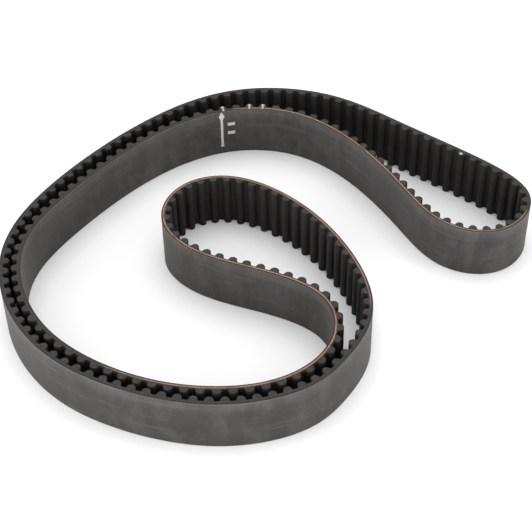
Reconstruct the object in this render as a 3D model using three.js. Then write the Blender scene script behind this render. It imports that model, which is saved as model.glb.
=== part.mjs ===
// Toothed drive belt (synchronous timing belt): 211 round-shouldered teeth at 8 mm pitch, 32 mm wide,
// lying loose on one cut edge and folded back on itself.
//
// From the back to the tooth side the belt is four bonded layers: backing rubber, the winding of
// tensile cords, tooth rubber and the woven facing over the teeth. Ink marks sit on the back and on
// the ends of a few teeth.
//
// Millimetres, +Z up. The belt stands on Z = 0, and X = Y = 0 is the centre of its outline.
import * as THREE from 'three';

// ---- Driving dimensions ----
const TOOTH_COUNT = 211;
const PITCH = 8;
const BELT_WIDTH = 32;

const BACKING_THICKNESS = 0.8;
const CORD_DIAMETER = 0.9;
const RUBBER_FILM = 0.2; // tooth rubber under the cords, between two teeth
const FACING_THICKNESS = 0.25;
const BOND_GAP = 0.05; // between one layer and the next

const TOOTH_HEIGHT = 3; // from the land between two teeth to the tip, over the facing
const TOOTH_BASE_WIDTH = 5.2;
const TOOTH_TIP_WIDTH = 3;

const TRIM_RECESS = 0.05; // the cords and the facing end this far inside the cut rubber edges
const FINE_BEND_RADIUS = 80; // bends tighter than this get two facets to each pitch

const INK_THICKNESS = 0.1;
const INK_GAP = 0.1;
const TICK_TEETH = [180, 182, 183];
const DOT_TOOTH = 6;

// Heights above the pitch line, which is the centre of the cords. Positive is towards the teeth.
const CORD_FACE = CORD_DIAMETER / 2;
const BACKING_INNER = -(CORD_FACE + BOND_GAP);
const BACK_FACE = BACKING_INNER - BACKING_THICKNESS;
const RUBBER_INNER = CORD_FACE + BOND_GAP;
const LAND_FACE = RUBBER_INNER + RUBBER_FILM + BOND_GAP + FACING_THICKNESS;

// ---- Route of the pitch line, seen from above ----
// Corners of a closed cubic B-spline, anticlockwise from the right-hand loop. The tooth side is on
// the left of the direction of travel, which is inside the loop. Each row is one stretch of belt.
const ROUTE_CORNERS = [
  [149, 26], [128, 51], [77, 90], [40, 123], // right-hand loop, up the back
  [-21, 131], [-70, 102], [-114, 55], [-146, 5], // over the top and down the left
  [-147, -43], [-124, -87], [-88, -114], [-31, -132], // round the lower left
  [17, -121], [36, -100], [56, -67], [44, -21], // along the front and up into the fold
  [19, 19], [-15, 44], [-42, 43], [-59, 27], [-62, 1], // round the end of the fold
  [-40, -23], [2, -36], [30, -53], [35, -80], // down the front of the fold and its turn
  [22, -104], [-8, -120], [-60, -117], [-108, -90], // back along the inside of the front
  [-132, -56], [-141, -10], [-118, 30], [-76, 81], // up the inside of the left
  [-32, 109], [13, 108], [47, 81], [74, 37], // over the inside of the top
  [90, 0], [120, -11], [141, 2], // front of the right-hand loop
].map(([x, y]) => new THREE.Vector2(x, y));

// Closed uniform cubic B-spline with one span for each corner.
class BeltRoute extends THREE.Curve {
  constructor(corners) {
    super();
    this.corners = corners;
    this.arcLengthDivisions = corners.length * 100;
  }

  getPoint(t, target = new THREE.Vector2()) {
    const count = this.corners.length;
    const span = Math.floor(t * count);
    const u = t * count - span;
    const weights = [
      (1 - u) ** 3 / 6,
      (3 * u ** 3 - 6 * u ** 2 + 4) / 6,
      (-3 * u ** 3 + 3 * u ** 2 + 3 * u + 1) / 6,
      u ** 3 / 6,
    ];
    target.set(0, 0);
    weights.forEach((weight, k) => {
      target.addScaledVector(this.corners[(span + k - 1 + count) % count], weight);
    });
    return target;
  }
}

const PITCH_LENGTH = TOOTH_COUNT * PITCH;
const handDrawnLength = new BeltRoute(ROUTE_CORNERS).getLength();
const routeScale = PITCH_LENGTH / handDrawnLength;
const route = new BeltRoute(ROUTE_CORNERS.map((corner) => corner.clone().multiplyScalar(routeScale)));

// ---- Belt coordinates: distance along the pitch line, and height above it ----
const wrap = (distance) => THREE.MathUtils.euclideanModulo(distance / PITCH_LENGTH, 1);

function tangentAt(distance) {
  return route.getTangentAt(wrap(distance));
}

// Unit vector from the back towards the teeth.
function toothwardAt(distance) {
  const tangent = tangentAt(distance);
  return new THREE.Vector2(-tangent.y, tangent.x);
}

function pointAt(distance, height) {
  return route.getPointAt(wrap(distance)).addScaledVector(toothwardAt(distance), height);
}

function bendRadiusAt(distance) {
  const turn = Math.abs(tangentAt(distance - PITCH / 2).cross(tangentAt(distance + PITCH / 2)));
  return PITCH / Math.max(Math.asin(turn), 1e-6);
}

const toothNumbers = Array.from({ length: TOOTH_COUNT }, (_, tooth) => tooth);

// The smooth faces have a facet line at the middle of each land, and in the tighter bends one at the
// middle of the tooth too. All layers share these lines, so their facets stay parallel.
const facetLines = toothNumbers.flatMap((tooth) => {
  const toothMiddle = tooth * PITCH;
  const landMiddle = toothMiddle + PITCH / 2;
  return bendRadiusAt(toothMiddle) < FINE_BEND_RADIUS ? [toothMiddle, landMiddle] : [landMiddle];
});

const smoothOutline = (height) => facetLines.map((distance) => pointAt(distance, height));

// Four corners of a tooth as [distance from its middle, height above the pitch line]. An inset draws
// the same profile a layer deeper, with its flanks, tip and lands all moved in by that much.
function toothCorners(inset) {
  const slope = (TOOTH_BASE_WIDTH - TOOTH_TIP_WIDTH) / 2 / TOOTH_HEIGHT;
  const flankInset = inset * Math.hypot(1, slope);
  const halfWidth = (rise) => TOOTH_BASE_WIDTH / 2 - slope * rise - flankInset;
  const base = halfWidth(-inset);
  const tip = halfWidth(TOOTH_HEIGHT - inset);
  const landHeight = LAND_FACE - inset;
  const tipHeight = landHeight + TOOTH_HEIGHT;
  return [[-base, landHeight], [-tip, tipHeight], [tip, tipHeight], [base, landHeight]];
}

function toothedOutline(inset) {
  const corners = toothCorners(inset);
  return toothNumbers.flatMap((tooth) => corners.map(
    ([offset, height]) => pointAt(tooth * PITCH + offset, height),
  ));
}

// ---- Materials ----
const material = (color, roughness, metalness = 0) => (
  new THREE.MeshStandardMaterial({ color, roughness, metalness })
);
const backingRubber = material(0x4a4845, 0.62);
const glassCord = material(0xb98a63, 0.5);
const toothRubber = material(0x2f2e2c, 0.75);
const wovenFacing = material(0x1b1a19, 0.85);
const whiteInk = material(0xd2d0c9, 0.55);

// ---- Layers ----
// A closed band of belt: the outline on its back side, less the outline on its tooth side.
function makeLayer(name, layerMaterial, backOutline, toothOutline, recess = 0) {
  const shape = new THREE.Shape(backOutline);
  shape.holes.push(new THREE.Path(toothOutline));
  const depth = BELT_WIDTH - 2 * recess;
  const layer = new THREE.Mesh(
    new THREE.ExtrudeGeometry(shape, { depth, bevelEnabled: false }),
    layerMaterial,
  );
  layer.name = name;
  layer.position.z = recess;
  return layer;
}

const backOutline = smoothOutline(BACK_FACE);

const layers = [
  makeLayer('backing_rubber', backingRubber, backOutline, smoothOutline(BACKING_INNER)),
  makeLayer(
    'tensile_cord_winding', glassCord,
    smoothOutline(-CORD_FACE), smoothOutline(CORD_FACE), TRIM_RECESS,
  ),
  makeLayer(
    'tooth_rubber', toothRubber,
    smoothOutline(RUBBER_INNER), toothedOutline(FACING_THICKNESS + BOND_GAP),
  ),
  makeLayer(
    'tooth_facing_fabric', wovenFacing,
    toothedOutline(FACING_THICKNESS), toothedOutline(0), TRIM_RECESS,
  ),
];

// ---- Ink marks ----
const asVector3 = (planar) => new THREE.Vector3(planar.x, planar.y, 0);
const up = new THREE.Vector3(0, 0, 1);

// A film of ink with the given outline. Its frame is set by two directions in the printed surface.
function makeInk(name, outline, origin, across, along) {
  const ink = new THREE.Mesh(
    new THREE.ExtrudeGeometry(outline, { depth: INK_THICKNESS, bevelEnabled: false, curveSegments: 6 }),
    whiteInk,
  );
  const outward = new THREE.Vector3().crossVectors(across, along);
  ink.applyMatrix4(
    new THREE.Matrix4()
      .makeBasis(across, along, outward)
      .setPosition(origin.addScaledVector(outward, INK_GAP)),
  );
  ink.name = name;
  return ink;
}

// On the back: the outline is drawn as [distance along the belt, height above the lower edge].
function printOnBack(name, distance, outline) {
  const across = asVector3(tangentAt(distance));
  return makeInk(name, outline, asVector3(pointAt(distance, BACK_FACE)), across, up);
}

// On the upper edge: the outline is drawn as [distance along the belt, height above the pitch line].
function printOnEdge(name, distance, outline) {
  const origin = asVector3(pointAt(distance, 0)).setZ(BELT_WIDTH);
  return makeInk(name, outline, origin, asVector3(tangentAt(distance)), asVector3(toothwardAt(distance)));
}

const polygon = (corners) => new THREE.Shape(corners.map(([x, y]) => new THREE.Vector2(x, y)));

function rectangle(width, bottom, height) {
  const half = width / 2;
  return polygon([[-half, bottom], [half, bottom], [half, bottom + height], [-half, bottom + height]]);
}

// Both halves of an outline that is the same on each side, from its right half, bottom to top.
function mirrored(rightHalf) {
  const leftHalf = rightHalf.map(([x, y]) => [-x, y]).reverse();
  return polygon([...rightHalf, ...leftHalf]);
}

// Direction arrow across the back, pointing at the upper edge: foot, shaft, head and blunt tip.
const ARROW_DISTANCE = 1438.4;
const arrowOutline = mirrored([
  [1.05, 5.2], [1.05, 6.4], // foot
  [0.75, 6.8], [0.75, 26], // shaft
  [1.9, 28.2], [0.3, 31.2], // head
]);

// Two plain bars beside the arrow.
const BAR = { distanceFromArrow: 6, width: 4.6, height: 2.2, heights: [20.7, 14.2] };

// A tick on a tooth end: a stem across the belt's thickness with a wider head at the tooth tip.
const tickOutline = mirrored([
  [0.5, -1], [0.5, 1.9], // stem
  [0.9, 2.5], [0.9, 3.2], [0.5, 3.6], // head
]);

// A round dot in the middle of a tooth end.
const DOT = { radius: 1, height: 2.4 };
const dotOutline = new THREE.Shape().absarc(0, DOT.height, DOT.radius, 0, 2 * Math.PI);

const marks = [
  printOnBack('direction_arrow', ARROW_DISTANCE, arrowOutline),
  ...BAR.heights.map((bottom, index) => printOnBack(
    `index_bar_${index + 1}`,
    ARROW_DISTANCE + BAR.distanceFromArrow,
    rectangle(BAR.width, bottom, BAR.height),
  )),
  ...TICK_TEETH.map((tooth, index) => printOnEdge(
    `tooth_tick_${index + 1}`, tooth * PITCH, tickOutline,
  )),
  printOnEdge('tooth_dot', DOT_TOOTH * PITCH, dotOutline),
];

// ---- Assembly ----
const belt = new THREE.Group();
belt.add(...layers, ...marks);
const outlineCentre = new THREE.Box2().setFromPoints(backOutline).getCenter(new THREE.Vector2());
belt.position.set(-outlineCentre.x, -outlineCentre.y, 0);

export default belt;
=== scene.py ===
"""Looks for a toothed drive belt that lies loose on its edge, folded back on itself.

The belt's layers are swept along the same route as the CAD solids, with rounded teeth, real cords
and printed marks. Lengths are in millimetres until they become mesh vertices.
"""

import math

import bpy
import numpy as np
from mathutils import Matrix, Vector


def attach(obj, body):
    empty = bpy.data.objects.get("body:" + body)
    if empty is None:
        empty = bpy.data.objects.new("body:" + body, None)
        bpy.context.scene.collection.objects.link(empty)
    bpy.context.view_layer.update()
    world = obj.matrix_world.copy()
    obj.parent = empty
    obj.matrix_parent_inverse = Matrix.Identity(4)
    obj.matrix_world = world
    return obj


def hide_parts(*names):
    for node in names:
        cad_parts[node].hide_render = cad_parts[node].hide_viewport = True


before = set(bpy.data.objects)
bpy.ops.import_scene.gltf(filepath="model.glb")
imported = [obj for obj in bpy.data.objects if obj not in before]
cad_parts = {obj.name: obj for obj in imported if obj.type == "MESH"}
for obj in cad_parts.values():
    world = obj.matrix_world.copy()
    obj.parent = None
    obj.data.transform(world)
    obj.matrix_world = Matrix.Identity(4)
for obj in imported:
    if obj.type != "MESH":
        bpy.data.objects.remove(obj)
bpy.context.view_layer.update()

MM = 0.001
RANDOM_SEED = 211

# ---- Belt dimensions, as in the CAD ----
TOOTH_COUNT = 211
PITCH = 8.0
PITCH_LENGTH = TOOTH_COUNT * PITCH
BELT_WIDTH = 32.0
BACKING_THICKNESS = 0.8
CORD_DIAMETER = 0.9
RUBBER_FILM = 0.2
FACING_THICKNESS = 0.25
BOND_GAP = 0.05
TOOTH_HEIGHT = 3.0
TRIM_RECESS = 0.05

# Heights above the pitch line, which is the centre of the cords. Positive is towards the teeth.
CORD_FACE = CORD_DIAMETER / 2
BACKING_INNER = -(CORD_FACE + BOND_GAP)
BACK_FACE = BACKING_INNER - BACKING_THICKNESS
RUBBER_INNER = CORD_FACE + BOND_GAP
LAND_FACE = RUBBER_INNER + RUBBER_FILM + BOND_GAP + FACING_THICKNESS

# ---- Route of the pitch line, as in the CAD: corners of a closed cubic B-spline ----
ROUTE_CORNERS = [
    (149, 26), (128, 51), (77, 90), (40, 123),  # right-hand loop, up the back
    (-21, 131), (-70, 102), (-114, 55), (-146, 5),  # over the top and down the left
    (-147, -43), (-124, -87), (-88, -114), (-31, -132),  # round the lower left
    (17, -121), (36, -100), (56, -67), (44, -21),  # along the front and up into the fold
    (19, 19), (-15, 44), (-42, 43), (-59, 27), (-62, 1),  # round the end of the fold
    (-40, -23), (2, -36), (30, -53), (35, -80),  # down the front of the fold and its turn
    (22, -104), (-8, -120), (-60, -117), (-108, -90),  # back along the inside of the front
    (-132, -56), (-141, -10), (-118, 30), (-76, 81),  # up the inside of the left
    (-32, 109), (13, 108), (47, 81), (74, 37),  # over the inside of the top
    (90, 0), (120, -11), (141, 2),  # front of the right-hand loop
]


class BeltPath:
    """The closed pitch line, and points beside it in belt coordinates (distance, height, z)."""

    STEPS_PER_SPAN = 400

    def __init__(self, corners):
        corners = np.array(corners, float)
        u = np.arange(self.STEPS_PER_SPAN) / self.STEPS_PER_SPAN
        weights = np.stack([
            (1 - u) ** 3 / 6,
            (3 * u**3 - 6 * u**2 + 4) / 6,
            (-3 * u**3 + 3 * u**2 + 3 * u + 1) / 6,
            u**3 / 6,
        ], axis=1)
        spans = [weights @ np.roll(corners, 1 - span, axis=0)[:4] for span in range(len(corners))]
        line = np.vstack(spans)
        closed = np.vstack([line, line[:1]])
        length = np.linalg.norm(np.diff(closed, axis=0), axis=1).sum()
        closed *= PITCH_LENGTH / length
        steps = np.linalg.norm(np.diff(closed, axis=0), axis=1)
        self.distances = np.concatenate([[0], np.cumsum(steps)])
        self.points = closed
        around = np.vstack([closed[-2], closed, closed[1]])
        tangents = around[2:] - around[:-2]
        self.tangents = tangents / np.linalg.norm(tangents, axis=1)[:, None]
        self.centre = np.zeros(2)
        back = self.plan(np.arange(0, PITCH_LENGTH, 1.0), BACK_FACE)
        self.centre = (back.min(axis=0) + back.max(axis=0)) / 2

    def _sample(self, values, distance):
        wrapped = np.mod(distance, PITCH_LENGTH)
        return np.stack([np.interp(wrapped, self.distances, values[:, k]) for k in (0, 1)], axis=-1)

    def tangent(self, distance):
        tangent = self._sample(self.tangents, distance)
        return tangent / np.linalg.norm(tangent, axis=-1)[..., None]

    def plan(self, distance, height):
        tangent = self.tangent(distance)
        toothward = np.stack([-tangent[..., 1], tangent[..., 0]], axis=-1)
        offset = toothward * np.broadcast_to(height, tangent.shape[:-1])[..., None]
        return self._sample(self.points, distance) + offset - self.centre

    def place(self, distance, height, z):
        """Belt coordinates to metres in the row frame."""
        plan = self.plan(distance, height)
        z = np.broadcast_to(z, plan.shape[:-1])
        return np.concatenate([plan, z[..., None]], axis=-1) * MM


path = BeltPath(ROUTE_CORNERS)


# ---- Mesh helpers ----
def smooth_by_angle(mesh, degrees):
    mesh.shade_smooth()
    mesh.set_sharp_from_angle(angle=math.radians(degrees))


def store_belt_coordinates(mesh, coordinates):
    """Two attributes that the materials read: belt_pos is (distance, height, z) in millimetres on
    each face corner, and round_pos is the same point with the belt laid out as one round hoop."""
    corner_vertex = np.zeros(len(mesh.loops), np.int32)
    mesh.loops.foreach_get("vertex_index", corner_vertex)
    corner = coordinates[corner_vertex].astype(np.float32)
    first = np.zeros(len(mesh.polygons), np.int32)
    mesh.polygons.foreach_get("loop_start", first)
    sizes = np.zeros(len(mesh.polygons), np.int32)
    mesh.polygons.foreach_get("loop_total", sizes)
    anchor = np.repeat(corner[first, 0], sizes)
    corner[:, 0] += PITCH_LENGTH * np.round((anchor - corner[:, 0]) / PITCH_LENGTH)
    belt = mesh.attributes.new("belt_pos", "FLOAT_VECTOR", "CORNER")
    belt.data.foreach_set("vector", corner.ravel())
    angle = coordinates[:, 0] * (2 * math.pi / PITCH_LENGTH)
    radius = PITCH_LENGTH / (2 * math.pi) + coordinates[:, 1]
    hoop = np.stack([radius * np.cos(angle), radius * np.sin(angle), coordinates[:, 2]], axis=-1)
    round_pos = mesh.attributes.new("round_pos", "FLOAT_VECTOR", "POINT")
    round_pos.data.foreach_set("vector", hoop.astype(np.float32).ravel())


def link(name, mesh, materials):
    for material in materials:
        mesh.materials.append(material)
    piece = bpy.data.objects.new(name, mesh)
    bpy.context.scene.collection.objects.link(piece)
    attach(piece, "root")
    return piece


def ring_mesh(name, distance, height, z, close_along=True):
    """A mesh over a grid of belt coordinates, shape (along the belt, around the section). The grid
    closes round its section, and along the belt too unless it is capped at both ends."""
    rows, columns = distance.shape
    vertices = path.place(distance, height, z).reshape(-1, 3)
    row = np.arange(rows if close_along else rows - 1)[:, None]
    column = np.arange(columns)[None, :]
    next_row = (row + 1) % rows
    next_column = (column + 1) % columns
    quads = np.stack([
        row * columns + column,
        next_row * columns + column,
        next_row * columns + next_column,
        row * columns + next_column,
    ], axis=-1).reshape(-1, 4)
    faces = quads.tolist()
    if not close_along:
        faces.append(list(range(columns)))
        faces.append(list(range((rows - 1) * columns, rows * columns))[::-1])
    mesh = bpy.data.meshes.new(name)
    mesh.from_pydata(vertices.tolist(), [], faces)
    mesh.update()
    coordinates = np.stack([
        distance, np.broadcast_to(height, distance.shape), np.broadcast_to(z, distance.shape),
    ], axis=-1).reshape(-1, 3)
    store_belt_coordinates(mesh, coordinates)
    return mesh


# ---- Materials ----
class Shader:
    """A small node-tree writer round one Principled BSDF."""

    def __init__(self, name):
        self.material = bpy.data.materials.new(name)
        self.material.use_nodes = True
        self.tree = self.material.node_tree
        self.bsdf = self.tree.nodes["Principled BSDF"]

    def node(self, kind, inputs=None, **settings):
        made = self.tree.nodes.new(kind)
        for key, value in settings.items():
            setattr(made, key, value)
        for socket, value in (inputs or {}).items():
            if isinstance(value, bpy.types.NodeSocket):
                self.tree.links.new(value, made.inputs[socket])
            else:
                made.inputs[socket].default_value = value
        return made

    def attribute(self, name):
        return self.node("ShaderNodeAttribute", attribute_name=name).outputs["Vector"]

    def scaled(self, vector, scale):
        return self.node(
            "ShaderNodeVectorMath", {0: vector, 1: scale}, operation="MULTIPLY",
        ).outputs["Vector"]

    def noise(self, vector, scale, detail=3.0, roughness=0.5):
        return self.node(
            "ShaderNodeTexNoise",
            {"Vector": vector, "Scale": scale, "Detail": detail, "Roughness": roughness},
        ).outputs["Fac"]

    def math(self, operation, first, second=0.0, clamp=False):
        made = self.node("ShaderNodeMath", {0: first, 1: second}, operation=operation)
        made.use_clamp = clamp
        return made.outputs[0]

    def ramp(self, value, low, high, to_low=0.0, to_high=1.0):
        return self.node("ShaderNodeMapRange", {
            "Value": value, "From Min": low, "From Max": high,
            "To Min": to_low, "To Max": to_high,
        }).outputs["Result"]

    def mix(self, factor, first, second):
        made = self.node("ShaderNodeMix", data_type="RGBA")
        colours = [socket for socket in made.inputs if socket.type == "RGBA"]
        for socket, value in ((made.inputs[0], factor), (colours[0], first), (colours[1], second)):
            if isinstance(value, bpy.types.NodeSocket):
                self.tree.links.new(value, socket)
            else:
                socket.default_value = value
        return [socket for socket in made.outputs if socket.type == "RGBA"][0]

    def bump(self, height, distance, strength=1.0, below=None):
        inputs = {"Height": height, "Distance": distance, "Strength": strength}
        if below is not None:
            inputs["Normal"] = below
        return self.node("ShaderNodeBump", inputs).outputs["Normal"]

    def finish(self, colour, roughness, normal, specular):
        links = self.tree.links
        links.new(colour, self.bsdf.inputs["Base Color"])
        links.new(roughness, self.bsdf.inputs["Roughness"])
        links.new(normal, self.bsdf.inputs["Normal"])
        self.bsdf.inputs["Specular IOR Level"].default_value = specular
        return self.material


def grey(level, warmth=0.0):
    """A linear grey, with a little more red and less blue for a positive warmth."""
    return (level * (1 + warmth), level, level * (1 - warmth), 1.0)


def back_rubber_material():
    """Ground back: warm grey with soft clouds and handling smudges, faint scuffs along it, and a
    paler band and a paler rim towards the upper edge."""
    shader = Shader("ground_back_rubber")
    hoop = shader.attribute("round_pos")
    z = shader.node(
        "ShaderNodeSeparateXYZ", {"Vector": shader.attribute("belt_pos")},
    ).outputs["Z"]
    clouds = shader.noise(hoop, 0.03, detail=4.0, roughness=0.6)
    smudges = shader.noise(shader.scaled(hoop, (1.0, 1.0, 0.4)), 0.12, detail=5.0, roughness=0.65)
    scuffs = shader.noise(shader.scaled(hoop, (0.05, 0.05, 1.0)), 0.45, detail=5.0, roughness=0.6)
    grain = shader.noise(hoop, 1.3, detail=5.0, roughness=0.75)
    grinding = shader.noise(shader.scaled(hoop, (0.3, 0.3, 1.0)), 5.0, detail=3.0)
    colour = shader.mix(shader.ramp(clouds, 0.38, 0.62), grey(0.015, 0.14), grey(0.029, 0.12))
    colour = shader.mix(shader.ramp(smudges, 0.45, 0.67, 0.0, 0.75), colour, grey(0.056, 0.09))
    colour = shader.mix(shader.ramp(scuffs, 0.55, 0.75, 0.0, 0.65), colour, grey(0.075, 0.08))
    colour = shader.mix(shader.ramp(grain, 0.5, 0.7, 0.0, 0.75), colour, grey(0.013, 0.06))
    # Paler towards the upper edge: a band over the upper few millimetres, patchy with the smudges,
    # and a narrow paler rim right at the edge where the scuffs are.
    band = shader.math(
        "MULTIPLY",
        shader.ramp(z, BELT_WIDTH - 8, BELT_WIDTH - 3, 0.0, 0.4),
        shader.ramp(smudges, 0.3, 0.6, 0.4, 1.0),
    )
    colour = shader.mix(band, colour, grey(0.085, 0.08))
    rim = shader.math(
        "MULTIPLY",
        shader.ramp(z, BELT_WIDTH - 1.2, BELT_WIDTH - 0.5, 0.0, 0.5),
        shader.ramp(scuffs, 0.35, 0.6),
    )
    colour = shader.mix(rim, colour, grey(0.12, 0.05))
    roughness = shader.ramp(smudges, 0.3, 0.7, 0.5, 0.64)
    normal = shader.bump(grinding, 0.00004, 0.6)
    normal = shader.bump(scuffs, 0.0002, 0.4, below=normal)
    return shader.finish(colour, roughness, normal, 0.45)


def cut_rubber_material(name, level, speck_level):
    """A slit edge: dull rubber with pale specks and a torn, grainy surface."""
    shader = Shader(name)
    hoop = shader.attribute("round_pos")
    patches = shader.noise(hoop, 0.3, detail=3.0)
    specks = shader.noise(hoop, 1.1, detail=5.0, roughness=0.75)
    dark, pale = grey(level * 0.75, 0.03), grey(level * 1.2, 0.05)
    dull = shader.mix(shader.ramp(patches, 0.35, 0.65), dark, pale)
    colour = shader.mix(shader.ramp(specks, 0.52, 0.66, 0.0, 0.85), dull, grey(speck_level, 0.06))
    roughness = shader.ramp(patches, 0.3, 0.7, 0.6, 0.8)
    return shader.finish(colour, roughness, shader.bump(specks, 0.00012, 0.8), 0.35)


def facing_material():
    """Woven facing: near black, a fine twill in the rubberised cloth, with rubbed patches."""
    shader = Shader("rubberised_woven_facing")
    hoop = shader.attribute("round_pos")
    axes = shader.node("ShaderNodeSeparateXYZ", {"Vector": shader.attribute("belt_pos")})
    thread = 0.5
    turns = 2 * math.pi / thread
    along = shader.math("MULTIPLY", axes.outputs["X"], turns)
    across = shader.math("MULTIPLY", axes.outputs["Z"], turns)
    warp = shader.math("SINE", shader.math("ADD", along, across))
    weft = shader.math("SINE", shader.math("SUBTRACT", along, shader.math("MULTIPLY", across, 2.0)))
    weave = shader.math("MULTIPLY", shader.math("ADD", warp, weft), 0.25)
    smears = shader.noise(shader.scaled(hoop, (1.0, 1.0, 0.25)), 0.35, detail=4.0)
    fluff = shader.noise(hoop, 3.0, detail=3.0, roughness=0.7)
    colour = shader.mix(shader.ramp(smears, 0.35, 0.7), grey(0.0085, 0.12), grey(0.0145, 0.1))
    colour = shader.mix(shader.ramp(fluff, 0.58, 0.75, 0.0, 0.5), colour, grey(0.035, 0.06))
    colour = shader.mix(shader.ramp(weave, 0.2, 0.5, 0.0, 0.35), colour, grey(0.022, 0.05))
    roughness = shader.ramp(smears, 0.3, 0.7, 0.62, 0.82)
    return shader.finish(colour, roughness, shader.bump(weave, 0.00008, 0.7), 0.3)


def cord_material(name, filament, dipped):
    """Twisted glass yarn in its copper-brown latex dip, with bare filaments along the twist."""
    shader = Shader(name)
    hoop = shader.attribute("round_pos")
    axes = shader.node("ShaderNodeSeparateXYZ", {"Vector": shader.attribute("belt_pos")})
    twist_length = 1.6
    twist = shader.math(
        "ADD",
        shader.math("MULTIPLY", axes.outputs["X"], 2 * math.pi / twist_length),
        shader.math("MULTIPLY", axes.outputs["Y"], 5.0),
    )
    strands = shader.ramp(shader.math("SINE", twist), -1.0, 1.0)
    stain = shader.noise(shader.scaled(hoop, (0.12, 0.12, 1.0)), 1.2, detail=3.0)
    colour = shader.mix(shader.math("MULTIPLY", strands, 0.6), dipped, filament)
    colour = shader.mix(shader.ramp(stain, 0.5, 0.7, 0.0, 0.8), colour, DIP_STAIN)
    roughness = shader.ramp(stain, 0.3, 0.7, 0.45, 0.65)
    return shader.finish(colour, roughness, shader.bump(strands, 0.00006, 0.8), 0.4)


def ink_material(name, level):
    """Printed ink: off-white, thin in places."""
    shader = Shader(name)
    hoop = shader.attribute("round_pos")
    wear = shader.noise(hoop, 1.4, detail=4.0, roughness=0.65)
    full, worn = grey(level, 0.03), grey(level * 0.45, 0.04)
    colour = shader.mix(shader.ramp(wear, 0.45, 0.75, 0.0, 0.7), full, worn)
    roughness = shader.ramp(wear, 0.3, 0.7, 0.5, 0.65)
    return shader.finish(colour, roughness, shader.bump(wear, 0.00003, 0.5), 0.4)


GLASS_FILAMENT = (0.78, 0.44, 0.24, 1.0)
GLASS_DIP = (0.55, 0.24, 0.11, 1.0)
CORE_FILAMENT = (0.14, 0.085, 0.055, 1.0)
CORE_DIP = (0.07, 0.04, 0.025, 1.0)
DIP_STAIN = (0.11, 0.06, 0.04, 1.0)

back_rubber = back_rubber_material()
backing_edge = cut_rubber_material("cut_backing_edge", 0.016, 0.045)
tooth_edge = cut_rubber_material("cut_tooth_edge", 0.016, 0.08)
gum_edge = cut_rubber_material("cut_gum_edge", 0.02, 0.065)
facing_cloth = facing_material()
glass_cord = cord_material("dipped_glass_cord", GLASS_FILAMENT, GLASS_DIP)
cut_cord_core = cord_material("cut_cord_core", CORE_FILAMENT, CORE_DIP)
back_ink = ink_material("white_ink", 0.52)
# The same white ink set darker for the marks on the upward-facing edge: painted shade that offsets
# the stronger light falling on top.
shaded_edge_ink = ink_material("white_ink_painted_shade", 0.36)


# ---- Layers ----
STATIONS_PER_PITCH = 6  # along a smooth face
UNDER_FACING = 0.01  # the tooth rubber stays this far inside the facing


def tooth_profile(inset):
    """One pitch of the toothed face from the middle of one land to the middle of the next, as
    offsets from the tooth's middle and heights. An inset draws the same profile a layer deeper."""
    tip_radius = 2.4
    root_radius = 0.55
    tip_centre = TOOTH_HEIGHT - tip_radius
    root_centre = tip_radius + root_radius
    root_angles = np.radians(np.linspace(270, 180, 5))
    root_offset = root_centre + (root_radius + inset) * np.cos(root_angles)
    root_height = root_radius + (root_radius + inset) * np.sin(root_angles)
    tip_angles = np.radians(np.linspace(0, 90, 9))
    tip_offset = (tip_radius - inset) * np.cos(tip_angles)
    tip_height = tip_centre + (tip_radius - inset) * np.sin(tip_angles)
    half_offset = np.concatenate([[PITCH / 2], root_offset, tip_offset])
    half_height = np.concatenate([[-inset], root_height, tip_height])
    offset = np.concatenate([-half_offset, half_offset[-2:0:-1]])
    height = np.concatenate([half_height, half_height[-2:0:-1]])
    return offset, LAND_FACE + height


def toothed_stations(inset):
    """Distances and heights of the whole toothed face."""
    offset, height = tooth_profile(inset)
    middles = np.arange(TOOTH_COUNT)[:, None] * PITCH
    return (middles + offset).ravel(), np.tile(height, TOOTH_COUNT)


def smooth_stations(count):
    """As many even distances along the belt, starting at the middle of a land."""
    return (np.arange(count) / count * TOOTH_COUNT - 0.5) * PITCH


def band(name, inner, outer, recess, edge_round, materials, slot_name):
    """A closed band between two faces, each (distances, heights), with rounded-off long edges.
    The first material is for the two faces, and the second for the cut edges."""
    low, high = recess, BELT_WIDTH - recess
    thickness = outer[1] - inner[1]
    rounded = np.clip(edge_round / np.maximum(np.abs(thickness), 1e-6), 0, 0.4)
    section = [  # each is a share of the way from the inner face to the outer one, and a z
        (0.0, high - edge_round),
        (0.0, low + edge_round),
        (rounded, low),
        (1 - rounded, low),
        (1.0, low + edge_round),
        (1.0, high - edge_round),
        (1 - rounded, high),
        (rounded, high),
    ]
    distance = np.stack([inner[0] + (outer[0] - inner[0]) * share for share, _ in section], axis=1)
    height = np.stack([inner[1] + thickness * share for share, _ in section], axis=1)
    z = np.broadcast_to(np.array([section_z for _, section_z in section]), distance.shape)
    mesh = ring_mesh(name, distance, height, z)
    strip = np.arange(len(mesh.polygons)) % len(section)
    on_cut_edge = ~np.isin(strip, [0, 4])
    mesh.polygons.foreach_set("material_index", on_cut_edge.astype(np.int32))
    smooth_by_angle(mesh, 35)
    return link(name, mesh, materials)


def make_layers():
    even = smooth_stations(TOOTH_COUNT * STATIONS_PER_PITCH)
    backing = band(
        "backing_rubber_body",
        (even, np.full(len(even), BACK_FACE)), (even, np.full(len(even), BACKING_INNER)),
        recess=0.0, edge_round=0.15,
        materials=[back_rubber, backing_edge], slot_name="backing_rubber",
    )
    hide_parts("backing_rubber")

    toothed = toothed_stations(FACING_THICKNESS + UNDER_FACING)
    even = smooth_stations(len(toothed[0]))
    tooth_body = band(
        "tooth_rubber_body",
        (even, np.full(len(even), RUBBER_INNER)), toothed,
        recess=0.0, edge_round=0.06,
        materials=[tooth_edge, tooth_edge], slot_name="tooth_rubber",
    )
    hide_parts("tooth_rubber")

    facing = band(
        "tooth_facing_cloth",
        toothed_stations(FACING_THICKNESS), toothed_stations(0.0),
        recess=TRIM_RECESS, edge_round=0.08,
        materials=[facing_cloth, facing_cloth], slot_name="facing_fabric",
    )
    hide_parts("tooth_facing_fabric")


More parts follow.
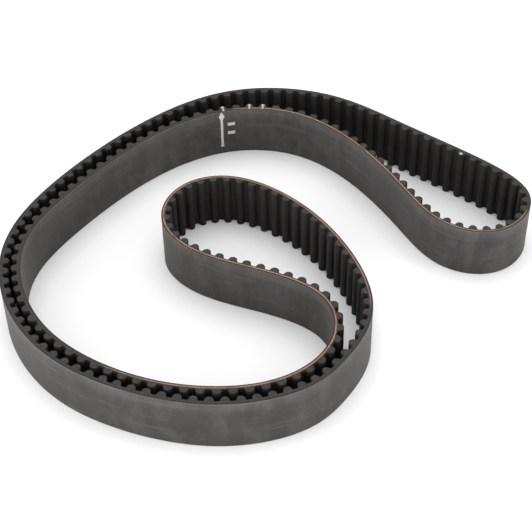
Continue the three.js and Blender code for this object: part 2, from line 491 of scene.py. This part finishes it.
# ---- Cords ----
GUM_DEPTH = 0.6  # rubber that closes the cord layer at each cut edge
GUM_RECESS = 0.04
CORD_SPACING = 1.1
CORD_SIDES = 6
CUT_CORD_STRETCHES = {  # distances from and to, and whether it is on the upper edge
    "cut_cord_upper_1": (690, 1165, True),
    "cut_cord_upper_2": (1445, 1672, True),
    "cut_cord_lower_1": (180, 700, False),
    "cut_cord_lower_2": (1010, 1330, False),
}


def cord_winding(name, first_cord, clear_of_edges):
    """Every second cord across the belt is one long winding, which climbs two spacings a turn."""
    climb = 2 * CORD_SPACING
    low = clear_of_edges + CORD_FACE
    turns = math.floor((BELT_WIDTH - 2 * low - CORD_SPACING) / climb)
    stations_per_turn = TOOTH_COUNT * 3
    step = np.arange(turns * stations_per_turn + 1)
    distance = step * (PITCH_LENGTH / stations_per_turn)
    centre_z = low + first_cord * CORD_SPACING + step * (climb / stations_per_turn)
    angles = np.arange(CORD_SIDES) * (2 * math.pi / CORD_SIDES)
    shape = (len(step), CORD_SIDES)
    mesh = ring_mesh(
        name,
        np.broadcast_to(distance[:, None], shape),
        np.broadcast_to(CORD_FACE * np.cos(angles), shape),
        centre_z[:, None] + CORD_FACE * np.sin(angles),
        close_along=False,
    )
    smooth_by_angle(mesh, 80)
    return link(name, mesh, [glass_cord])


def gum_ring(name, low, high):
    """Adhesion rubber that fills the cord layer between two heights across the belt."""
    even = smooth_stations(TOOTH_COUNT * STATIONS_PER_PITCH)
    heights = np.array([BACKING_INNER, BACKING_INNER, RUBBER_INNER, RUBBER_INNER])
    shape = (len(even), len(heights))
    mesh = ring_mesh(
        name,
        np.broadcast_to(even[:, None], shape),
        np.broadcast_to(heights, shape),
        np.broadcast_to(np.array([high, low, low, high]), shape),
    )
    smooth_by_angle(mesh, 35)
    return link(name, mesh, [gum_edge])


def cut_cord(name, start, end, top, rng):
    """The cord that the slitting knife laid open along one stretch of an edge. It shows as two
    bright rims beside a dark core, and tapers where the winding dips back under the rubber."""
    count = int(end - start)
    distance = np.linspace(start, end, count)
    across = np.linspace(-1, 1, count)
    ripple = np.interp(distance, distance[::6], rng.uniform(0.75, 1.0, len(distance[::6])))
    half = (CORD_FACE + BOND_GAP / 2) * ripple * np.clip(1 - across**8, 0.03, 1) ** 0.5
    into = -1.0 if top else 1.0
    face = BELT_WIDTH if top else 0.0
    section = [  # each is a share of the half width, and a depth under the cut face
        (-1.0, 0.05), (-0.35, 0.0), (0.5, 0.02), (1.0, 0.08), (0.8, 0.4), (-0.8, 0.4),
    ]
    shape = (count, len(section))
    height = np.stack([half * share for share, _ in section], axis=1)
    z = np.broadcast_to(np.array([face + into * depth for _, depth in section]), shape)
    mesh = ring_mesh(name, np.broadcast_to(distance[:, None], shape), height, z, close_along=False)
    strip = np.arange(len(mesh.polygons)) % len(section)
    dark_core = strip == 1
    mesh.polygons.foreach_set("material_index", dark_core.astype(np.int32))
    if not top:
        mesh.flip_normals()
    smooth_by_angle(mesh, 50)
    return link(name, mesh, [glass_cord, cut_cord_core])


def make_cords():
    rng = np.random.default_rng(RANDOM_SEED)
    s_cord = cord_winding("cord_winding_s", 0, GUM_DEPTH)
    cord_winding("cord_winding_z", 1, GUM_DEPTH)
    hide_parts("tensile_cord_winding")
    gum_ring("cord_gum_upper", BELT_WIDTH - GUM_DEPTH, BELT_WIDTH - GUM_RECESS)
    gum_ring("cord_gum_lower", GUM_RECESS, GUM_DEPTH)
    for name, (start, end, top) in CUT_CORD_STRETCHES.items():
        cut_cord(name, start, end, top, rng)


# ---- Ink marks ----
INK_LIFT = 0.02
INK_THICKNESS = 0.05
ARROW_DISTANCE = 1438.4
BAR_FROM_ARROW = 6.0
BAR_HALF_WIDTH = 2.3
BAR_HEIGHT = 2.2
BAR_LOW_SIDES = [20.7, 14.2]
TICK_TEETH = [180, 182, 183]
DOT_TOOTH = 6
DOT_CENTRE = 2.4  # above the pitch line; its radius is 1


def mirrored(right_half):
    """An outline that is the same on both sides, from its right half, bottom to top."""
    return right_half + [(-x, y) for x, y in reversed(right_half)]


def rough_outline(corners, rng, step=0.35, roughness=0.05):
    """The outline's edges cut into short steps, each moved a little, as ink creeps on rubber."""
    points = []
    for (x0, y0), (x1, y1) in zip(corners, corners[1:] + corners[:1]):
        pieces = max(1, round(math.hypot(x1 - x0, y1 - y0) / step))
        for k in range(pieces):
            share = k / pieces
            points.append((x0 + (x1 - x0) * share, y0 + (y1 - y0) * share))
    return np.array(points) + rng.normal(0, roughness, (len(points), 2))


def ink_film(name, outline, to_belt, ink, node):
    """A thin film. to_belt turns the outline's points and a lift off the surface into belt
    coordinates."""
    count = len(outline)
    lower = np.stack(to_belt(outline, INK_LIFT), axis=-1)
    upper = np.stack(to_belt(outline, INK_LIFT + INK_THICKNESS), axis=-1)
    coordinates = np.vstack([lower, upper])
    vertices = path.place(coordinates[:, 0], coordinates[:, 1], coordinates[:, 2])
    ring = np.arange(count)
    sides = np.stack([ring, (ring + 1) % count, (ring + 1) % count + count, ring + count], axis=1)
    faces = sides.tolist() + [ring[::-1].tolist(), (ring + count).tolist()]
    mesh = bpy.data.meshes.new(name)
    mesh.from_pydata(vertices.tolist(), [], faces)
    mesh.update()
    store_belt_coordinates(mesh, coordinates)
    piece = link(name, mesh, [ink])
    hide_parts(node)


def on_back(distance):
    """Places an outline on the back: x along the belt from the distance, y up from Z = 0."""
    def to_belt(outline, lift):
        along = distance + outline[:, 0]
        return along, np.full(len(outline), BACK_FACE - lift), outline[:, 1]
    return to_belt


def on_upper_edge(distance):
    """Places an outline on the upper edge: x along the belt, y above the pitch line."""
    def to_belt(outline, lift):
        along = distance + outline[:, 0]
        return along, outline[:, 1], np.full(len(outline), BELT_WIDTH + lift)
    return to_belt


def make_marks():
    rng = np.random.default_rng(RANDOM_SEED + 1)
    arrow = mirrored([
        (1.05, 5.2), (1.05, 6.4), (0.75, 6.8),  # foot
        (0.75, 26.0), (1.9, 28.2), (0.3, 31.2),  # shaft and head
    ])
    ink_film(
        "ink_direction_arrow", rough_outline(arrow, rng), on_back(ARROW_DISTANCE),
        back_ink, "direction_arrow",
    )
    for number, low in enumerate(BAR_LOW_SIDES, start=1):
        bar = mirrored([(BAR_HALF_WIDTH, low), (BAR_HALF_WIDTH, low + BAR_HEIGHT)])
        ink_film(
            f"ink_index_bar_{number}", rough_outline(bar, rng),
            on_back(ARROW_DISTANCE + BAR_FROM_ARROW), back_ink, f"index_bar_{number}",
        )
    tick = mirrored([(0.5, -1.0), (0.5, 1.9), (0.9, 2.5), (0.9, 3.2), (0.5, 3.6)])
    for number, tooth in enumerate(TICK_TEETH, start=1):
        ink_film(
            f"ink_tooth_tick_{number}", rough_outline(tick, rng),
            on_upper_edge(tooth * PITCH), shaded_edge_ink, f"tooth_tick_{number}",
        )
    angles = np.radians(np.arange(0, 360, 15))
    dot = list(zip(np.cos(angles), DOT_CENTRE + np.sin(angles)))
    ink_film(
        "ink_tooth_dot", rough_outline(dot, rng),
        on_upper_edge(DOT_TOOTH * PITCH), shaded_edge_ink, "tooth_dot",
    )


make_layers()
make_cords()
make_marks()


# ---- Stage: floor, light and camera ----
def make_floor():
    shader = Shader("pale_floor")
    position = shader.node("ShaderNodeNewGeometry").outputs["Position"]
    tone = shader.noise(position, 3.0)
    colour = shader.mix(tone, grey(0.88), grey(0.9))
    roughness = shader.ramp(tone, 0, 1, 0.8, 0.9)
    material = shader.finish(colour, roughness, shader.bump(tone, 0.0001), 0.2)
    half = 3.0
    level = -0.0002  # metres, just under the belt's edge
    mesh = bpy.data.meshes.new("floor")
    corners = [(x, y, level) for x, y in ((-half, -half), (half, -half), (half, half), (-half, half))]
    mesh.from_pydata(corners, [], [(0, 1, 2, 3)])
    mesh.materials.append(material)
    floor = bpy.data.objects.new("floor", mesh)
    bpy.context.scene.collection.objects.link(floor)


def add_area_light(name, location, target, size, power):
    data = bpy.data.lights.new(name, "AREA")
    data.shape = "DISK"
    data.size = size
    data.energy = power
    light = bpy.data.objects.new(name, data)
    light.location = location
    direction = Vector(target) - Vector(location)
    light.rotation_mode = "QUATERNION"
    light.rotation_quaternion = direction.to_track_quat("-Z", "Y")
    light.visible_camera = False
    bpy.context.scene.collection.objects.link(light)


def make_lights():
    world = bpy.data.worlds.new("studio")
    world.use_nodes = True
    background = world.node_tree.nodes["Background"]
    background.inputs["Color"].default_value = (1.0, 1.0, 1.0, 1.0)
    background.inputs["Strength"].default_value = 0.95
    bpy.context.scene.world = world
    add_area_light("overhead_softbox", (0.0, 0.3, 1.5), (0, 0, 0), 1.4, 11.0)
    add_area_light("left_softbox", (-1.1, -0.3, 0.3), (0, 0, 0.02), 0.5, 4.5)
    add_area_light("right_softbox", (1.1, -0.3, 0.3), (0, 0, 0.02), 0.5, 3.5)
    add_area_light("front_fill", (-0.1, -0.75, 0.16), (-0.1, 0, 0.02), 0.3, 2.4)


def make_camera():
    """The lens and the angle at which the belt's two edges line up with the reference view."""
    elevation = math.radians(43.65)
    roll = math.radians(-0.97)
    distance = 784.3
    target = Vector((-2.9, 1.8, 0.0))
    forward = Vector((0, math.cos(elevation), -math.sin(elevation)))
    level_up = Vector((0, math.sin(elevation), math.cos(elevation)))
    level_right = Vector((1, 0, 0))
    right = level_right * math.cos(roll) + level_up * math.sin(roll)
    up = level_up * math.cos(roll) - level_right * math.sin(roll)
    data = bpy.data.cameras.new("camera")
    data.sensor_width = 36.0
    data.lens = 93.13
    data.clip_start = 0.01
    camera = bpy.data.objects.new("camera", data)
    axes = Matrix((right, up, -forward)).transposed()
    camera.matrix_world = Matrix.Translation((target - forward * distance) * MM) @ axes.to_4x4()
    bpy.context.scene.collection.objects.link(camera)
    bpy.context.scene.camera = camera


make_floor()
make_lights()
make_camera()
bpy.context.scene.view_settings.view_transform = "Standard"
